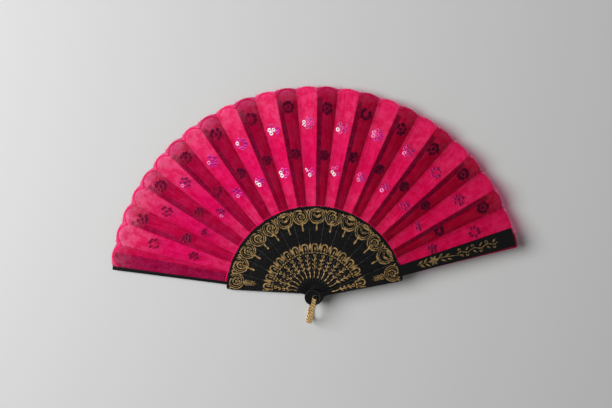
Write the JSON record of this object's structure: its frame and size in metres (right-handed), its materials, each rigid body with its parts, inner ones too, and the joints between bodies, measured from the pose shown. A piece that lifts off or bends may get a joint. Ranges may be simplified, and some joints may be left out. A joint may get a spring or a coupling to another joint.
{
  "type": "folding hand fan",
  "caption": "Folding hand fan: printed sticks turn on one rivet between two guards and spread a pleated, scalloped cloth leaf, with a swinging metal loop at the rivet.",
  "frame": {"origin": "centre of the flat underside of the rivet's lower head, on the rivet's axis", "axes": "+Z along the rivet from the back guard to the front guard, +Y from the rivet to the middle of the open leaf, +X towards the front guard's side"},
  "size_m": [0.4306, 0.2517, 0.0247],
  "materials": {
    "sticks": "black with matt gold print",
    "leaf": "sheer satin cloth with sequins",
    "gold_metal": "bright gold"
  },
  "bodies": {
    "back_guard": {"back_guard": "sticks", "leaf_panel_00": "leaf", "rivet": "gold_metal", "rivet_cap": "gold_metal"},
    "stick_01": {"stick_01": "sticks"},
    "stick_02": {"stick_02": "sticks"},
    "stick_03": {"stick_03": "sticks"},
    "stick_04": {"stick_04": "sticks"},
    "stick_05": {"stick_05": "sticks"},
    "stick_06": {"stick_06": "sticks"},
    "stick_07": {"stick_07": "sticks"},
    "stick_08": {"stick_08": "sticks"},
    "stick_09": {"stick_09": "sticks"},
    "stick_10": {"stick_10": "sticks"},
    "stick_11": {"stick_11": "sticks"},
    "stick_12": {"stick_12": "sticks"},
    "front_guard": {"front_guard": "sticks", "leaf_panel_13": "leaf"},
    "leaf_panel_01": {"leaf_panel_01": "leaf"},
    "leaf_panel_02": {"leaf_panel_02": "leaf"},
    "leaf_panel_03": {"leaf_panel_03": "leaf"},
    "leaf_panel_04": {"leaf_panel_04": "leaf"},
    "leaf_panel_05": {"leaf_panel_05": "leaf"},
    "leaf_panel_06": {"leaf_panel_06": "leaf"},
    "leaf_panel_07": {"leaf_panel_07": "leaf"},
    "leaf_panel_08": {"leaf_panel_08": "leaf"},
    "leaf_panel_09": {"leaf_panel_09": "leaf"},
    "leaf_panel_10": {"leaf_panel_10": "leaf"},
    "leaf_panel_11": {"leaf_panel_11": "leaf"},
    "leaf_panel_12": {"leaf_panel_12": "leaf"},
    "leaf_fold_00": {"leaf_fold_00": "leaf"},
    "leaf_fold_01": {"leaf_fold_01": "leaf"},
    "leaf_fold_02": {"leaf_fold_02": "leaf"},
    "leaf_fold_03": {"leaf_fold_03": "leaf"},
    "leaf_fold_04": {"leaf_fold_04": "leaf"},
    "leaf_fold_05": {"leaf_fold_05": "leaf"},
    "leaf_fold_06": {"leaf_fold_06": "leaf"},
    "leaf_fold_07": {"leaf_fold_07": "leaf"},
    "leaf_fold_08": {"leaf_fold_08": "leaf"},
    "leaf_fold_09": {"leaf_fold_09": "leaf"},
    "leaf_fold_10": {"leaf_fold_10": "leaf"},
    "leaf_fold_11": {"leaf_fold_11": "leaf"},
    "leaf_fold_12": {"leaf_fold_12": "leaf"},
    "hanging_loop": {"hanging_loop": "gold_metal"}
  },
  "joints": [
    {"name": "stick_01_pivot", "type": "hinge", "parent": "back_guard", "child": "stick_01", "pos_m": [0, 0, 0.0053], "axis": [0, 0, 1], "range_deg": [0, 12.8]},
    {"name": "stick_02_pivot", "type": "hinge", "parent": "stick_01", "child": "stick_02", "pos_m": [0, 0, 0.0065], "axis": [0, 0, 1], "range_deg": [0, 11.64]},
    {"name": "stick_03_pivot", "type": "hinge", "parent": "stick_02", "child": "stick_03", "pos_m": [0, 0, 0.0077], "axis": [0, 0, 1], "range_deg": [0, 11.64]},
    {"name": "stick_04_pivot", "type": "hinge", "parent": "stick_03", "child": "stick_04", "pos_m": [0, 0, 0.0089], "axis": [0, 0, 1], "range_deg": [0, 11.64]},
    {"name": "stick_05_pivot", "type": "hinge", "parent": "stick_04", "child": "stick_05", "pos_m": [0, 0, 0.0101], "axis": [0, 0, 1], "range_deg": [0, 11.64]},
    {"name": "stick_06_pivot", "type": "hinge", "parent": "stick_05", "child": "stick_06", "pos_m": [0, 0, 0.0113], "axis": [0, 0, 1], "range_deg": [0, 11.64]},
    {"name": "stick_07_pivot", "type": "hinge", "parent": "stick_06", "child": "stick_07", "pos_m": [0, 0, 0.0125], "axis": [0, 0, 1], "range_deg": [0, 11.64]},
    {"name": "stick_08_pivot", "type": "hinge", "parent": "stick_07", "child": "stick_08", "pos_m": [0, 0, 0.0137], "axis": [0, 0, 1], "range_deg": [0, 11.64]},
    {"name": "stick_09_pivot", "type": "hinge", "parent": "stick_08", "child": "stick_09", "pos_m": [0, 0, 0.0149], "axis": [0, 0, 1], "range_deg": [0, 11.64]},
    {"name": "stick_10_pivot", "type": "hinge", "parent": "stick_09", "child": "stick_10", "pos_m": [0, 0, 0.0161], "axis": [0, 0, 1], "range_deg": [0, 11.64]},
    {"name": "stick_11_pivot", "type": "hinge", "parent": "stick_10", "child": "stick_11", "pos_m": [0, 0, 0.0173], "axis": [0, 0, 1], "range_deg": [0, 11.64]},
    {"name": "stick_12_pivot", "type": "hinge", "parent": "stick_11", "child": "stick_12", "pos_m": [0, 0, 0.0185], "axis": [0, 0, 1], "range_deg": [0, 11.64]},
    {"name": "front_guard_pivot", "type": "hinge", "parent": "stick_12", "child": "front_guard", "pos_m": [0, 0, 0.0197], "axis": [0, 0, 1], "range_deg": [0, 12.8]},
    {"name": "leaf_panel_01_tilt", "type": "hinge", "parent": "stick_01", "child": "leaf_panel_01", "pos_m": [-0.08461, 0.04323, 0.00613], "axis": [0.9027, -0.4302, 0], "range_deg": [0, 15.01]},
    {"name": "leaf_panel_02_tilt", "type": "hinge", "parent": "stick_02", "child": "leaf_panel_02", "pos_m": [-0.07415, 0.05942, 0.00732], "axis": [0.7974, -0.6035, 0], "range_deg": [0, 15.01]},
    {"name": "leaf_panel_03_tilt", "type": "hinge", "parent": "stick_03", "child": "leaf_panel_03", "pos_m": [-0.06064, 0.07315, 0.00852], "axis": [0.6592, -0.752, 0], "range_deg": [0, 15.01]},
    {"name": "leaf_panel_04_tilt", "type": "hinge", "parent": "stick_04", "child": "leaf_panel_04", "pos_m": [-0.04463, 0.08388, 0.00972], "axis": [0.4939, -0.8695, 0], "range_deg": [0, 15.01]},
    {"name": "leaf_panel_05_tilt", "type": "hinge", "parent": "stick_05", "child": "leaf_panel_05", "pos_m": [-0.02679, 0.09116, 0.01093], "axis": [0.3083, -0.9513, 0], "range_deg": [0, 15.01]},
    {"name": "leaf_panel_06_tilt", "type": "hinge", "parent": "stick_06", "child": "leaf_panel_06", "pos_m": [-0.00784, 0.09469, 0.01213], "axis": [0.1101, -0.9939, 0], "range_deg": [0, 15.01]},
    {"name": "leaf_panel_07_tilt", "type": "hinge", "parent": "stick_07", "child": "leaf_panel_07", "pos_m": [0.01142, 0.09433, 0.01333], "axis": [-0.0927, -0.9957, 0], "range_deg": [0, 15.01]},
    {"name": "leaf_panel_08_tilt", "type": "hinge", "parent": "stick_08", "child": "leaf_panel_08", "pos_m": [0.03022, 0.09008, 0.01452], "axis": [-0.2917, -0.9565, 0], "range_deg": [0, 15.01]},
    {"name": "leaf_panel_09_tilt", "type": "hinge", "parent": "stick_09", "child": "leaf_panel_09", "pos_m": [0.04777, 0.08213, 0.01572], "axis": [-0.4787, -0.878, 0], "range_deg": [0, 15.01]},
    {"name": "leaf_panel_10_tilt", "type": "hinge", "parent": "stick_10", "child": "leaf_panel_10", "pos_m": [0.06336, 0.0708, 0.01692], "axis": [-0.646, -0.7633, 0], "range_deg": [0, 15.01]},
    {"name": "leaf_panel_11_tilt", "type": "hinge", "parent": "stick_11", "child": "leaf_panel_11", "pos_m": [0.07635, 0.05656, 0.01812], "axis": [-0.7867, -0.6173, 0], "range_deg": [0, 15.01]},
    {"name": "leaf_panel_12_tilt", "type": "hinge", "parent": "stick_12", "child": "leaf_panel_12", "pos_m": [0.08619, 0.04, 0.01932], "axis": [-0.8951, -0.4459, 0], "range_deg": [0, 15.01]},
    {"name": "leaf_fold_00_turn", "type": "hinge", "parent": "back_guard", "child": "leaf_fold_00", "pos_m": [-0.09086, 0.02974, 0.00487], "axis": [0.9504, -0.311, 0], "range_deg": [0, 172.24], "deforming": ["leaf_fold_00"]},
    {"name": "leaf_fold_01_turn", "type": "hinge", "parent": "leaf_panel_01", "child": "leaf_fold_01", "pos_m": [-0.08246, 0.04837, 0.00463], "axis": [0.8623, -0.5058, 0.0229], "range_deg": [0, 146.02], "deforming": ["leaf_fold_01"]},
    {"name": "leaf_fold_02_turn", "type": "hinge", "parent": "leaf_panel_02", "child": "leaf_fold_02", "pos_m": [-0.071, 0.06401, 0.00583], "axis": [0.7425, -0.6694, 0.0229], "range_deg": [0, 146.02], "deforming": ["leaf_fold_02"]},
    {"name": "leaf_fold_03_turn", "type": "hinge", "parent": "leaf_panel_03", "child": "leaf_fold_03", "pos_m": [-0.05663, 0.07702, 0.00703], "axis": [0.5922, -0.8055, 0.0229], "range_deg": [0, 146.02], "deforming": ["leaf_fold_03"]},
    {"name": "leaf_fold_04_turn", "type": "hinge", "parent": "leaf_panel_04", "child": "leaf_fold_04", "pos_m": [-0.03992, 0.08686, 0.00823], "axis": [0.4175, -0.9084, 0.0229], "range_deg": [0, 146.02], "deforming": ["leaf_fold_04"]},
    {"name": "leaf_fold_05_turn", "type": "hinge", "parent": "leaf_panel_05", "child": "leaf_fold_05", "pos_m": [-0.02158, 0.09313, 0.00943], "axis": [0.2256, -0.9739, 0.0229], "range_deg": [0, 146.02], "deforming": ["leaf_fold_05"]},
    {"name": "leaf_fold_06_turn", "type": "hinge", "parent": "leaf_panel_06", "child": "leaf_fold_06", "pos_m": [-0.00234, 0.09557, 0.01063], "axis": [0.0245, -0.9994, 0.0229], "range_deg": [0, 146.02], "deforming": ["leaf_fold_06"]},
    {"name": "leaf_fold_07_turn", "type": "hinge", "parent": "leaf_panel_07", "child": "leaf_fold_07", "pos_m": [0.01699, 0.09408, 0.01183], "axis": [-0.1777, -0.9838, 0.0229], "range_deg": [0, 146.02], "deforming": ["leaf_fold_07"]},
    {"name": "leaf_fold_08_turn", "type": "hinge", "parent": "leaf_panel_08", "child": "leaf_fold_08", "pos_m": [0.03562, 0.08872, 0.01303], "axis": [-0.3725, -0.9277, 0.0229], "range_deg": [0, 146.02], "deforming": ["leaf_fold_08"]},
    {"name": "leaf_fold_09_turn", "type": "hinge", "parent": "leaf_panel_09", "child": "leaf_fold_09", "pos_m": [0.05279, 0.0797, 0.01423], "axis": [-0.552, -0.8335, 0.0229], "range_deg": [0, 146.02], "deforming": ["leaf_fold_09"]},
    {"name": "leaf_fold_10_turn", "type": "hinge", "parent": "leaf_panel_10", "child": "leaf_fold_10", "pos_m": [0.06778, 0.06742, 0.01543], "axis": [-0.7088, -0.705, 0.0229], "range_deg": [0, 146.02], "deforming": ["leaf_fold_10"]},
    {"name": "leaf_fold_11_turn", "type": "hinge", "parent": "leaf_panel_11", "child": "leaf_fold_11", "pos_m": [0.07999, 0.05235, 0.01663], "axis": [-0.8365, -0.5475, 0.0229], "range_deg": [0, 146.02], "deforming": ["leaf_fold_11"]},
    {"name": "leaf_fold_12_turn", "type": "hinge", "parent": "leaf_panel_12", "child": "leaf_fold_12", "pos_m": [0.08891, 0.03514, 0.01783], "axis": [-0.9298, -0.3674, 0.0229], "range_deg": [0, 153.46], "deforming": ["leaf_fold_12"]},
    {"name": "loop_swing", "type": "hinge", "parent": "back_guard", "child": "hanging_loop", "pos_m": [0, 0, 0.00105], "axis": [0, 0, 1], "range_deg": [-70, 100]}
  ],
  "couplings": [
    {"joint": "stick_02_pivot", "follows": "stick_01_pivot", "ratio": 0.90909},
    {"joint": "stick_03_pivot", "follows": "stick_01_pivot", "ratio": 0.90909},
    {"joint": "stick_04_pivot", "follows": "stick_01_pivot", "ratio": 0.90909},
    {"joint": "stick_05_pivot", "follows": "stick_01_pivot", "ratio": 0.90909},
    {"joint": "stick_06_pivot", "follows": "stick_01_pivot", "ratio": 0.90909},
    {"joint": "stick_07_pivot", "follows": "stick_01_pivot", "ratio": 0.90909},
    {"joint": "stick_08_pivot", "follows": "stick_01_pivot", "ratio": 0.90909},
    {"joint": "stick_09_pivot", "follows": "stick_01_pivot", "ratio": 0.90909},
    {"joint": "stick_10_pivot", "follows": "stick_01_pivot", "ratio": 0.90909},
    {"joint": "stick_11_pivot", "follows": "stick_01_pivot", "ratio": 0.90909},
    {"joint": "stick_12_pivot", "follows": "stick_01_pivot", "ratio": 0.90909},
    {"joint": "front_guard_pivot", "follows": "stick_01_pivot", "ratio": 1},
    {"joint": "leaf_panel_01_tilt", "follows": "stick_01_pivot", "ratio": 1.1715},
    {"joint": "leaf_panel_02_tilt", "follows": "stick_01_pivot", "ratio": 1.1715},
    {"joint": "leaf_panel_03_tilt", "follows": "stick_01_pivot", "ratio": 1.1715},
    {"joint": "leaf_panel_04_tilt", "follows": "stick_01_pivot", "ratio": 1.1715},
    {"joint": "leaf_panel_05_tilt", "follows": "stick_01_pivot", "ratio": 1.1715},
    {"joint": "leaf_panel_06_tilt", "follows": "stick_01_pivot", "ratio": 1.1715},
    {"joint": "leaf_panel_07_tilt", "follows": "stick_01_pivot", "ratio": 1.1715},
    {"joint": "leaf_panel_08_tilt", "follows": "stick_01_pivot", "ratio": 1.1715},
    {"joint": "leaf_panel_09_tilt", "follows": "stick_01_pivot", "ratio": 1.1715},
    {"joint": "leaf_panel_10_tilt", "follows": "stick_01_pivot", "ratio": 1.1715},
    {"joint": "leaf_panel_11_tilt", "follows": "stick_01_pivot", "ratio": 1.1715},
    {"joint": "leaf_panel_12_tilt", "follows": "stick_01_pivot", "ratio": 1.1715},
    {"joint": "leaf_fold_00_turn", "follows": "stick_01_pivot", "ratio": 13.448},
    {"joint": "leaf_fold_01_turn", "follows": "stick_01_pivot", "ratio": 11.4},
    {"joint": "leaf_fold_02_turn", "follows": "stick_01_pivot", "ratio": 11.4},
    {"joint": "leaf_fold_03_turn", "follows": "stick_01_pivot", "ratio": 11.4},
    {"joint": "leaf_fold_04_turn", "follows": "stick_01_pivot", "ratio": 11.4},
    {"joint": "leaf_fold_05_turn", "follows": "stick_01_pivot", "ratio": 11.4},
    {"joint": "leaf_fold_06_turn", "follows": "stick_01_pivot", "ratio": 11.4},
    {"joint": "leaf_fold_07_turn", "follows": "stick_01_pivot", "ratio": 11.4},
    {"joint": "leaf_fold_08_turn", "follows": "stick_01_pivot", "ratio": 11.4},
    {"joint": "leaf_fold_09_turn", "follows": "stick_01_pivot", "ratio": 11.4},
    {"joint": "leaf_fold_10_turn", "follows": "stick_01_pivot", "ratio": 11.4},
    {"joint": "leaf_fold_11_turn", "follows": "stick_01_pivot", "ratio": 11.4},
    {"joint": "leaf_fold_12_turn", "follows": "stick_01_pivot", "ratio": 11.981}
  ]
}
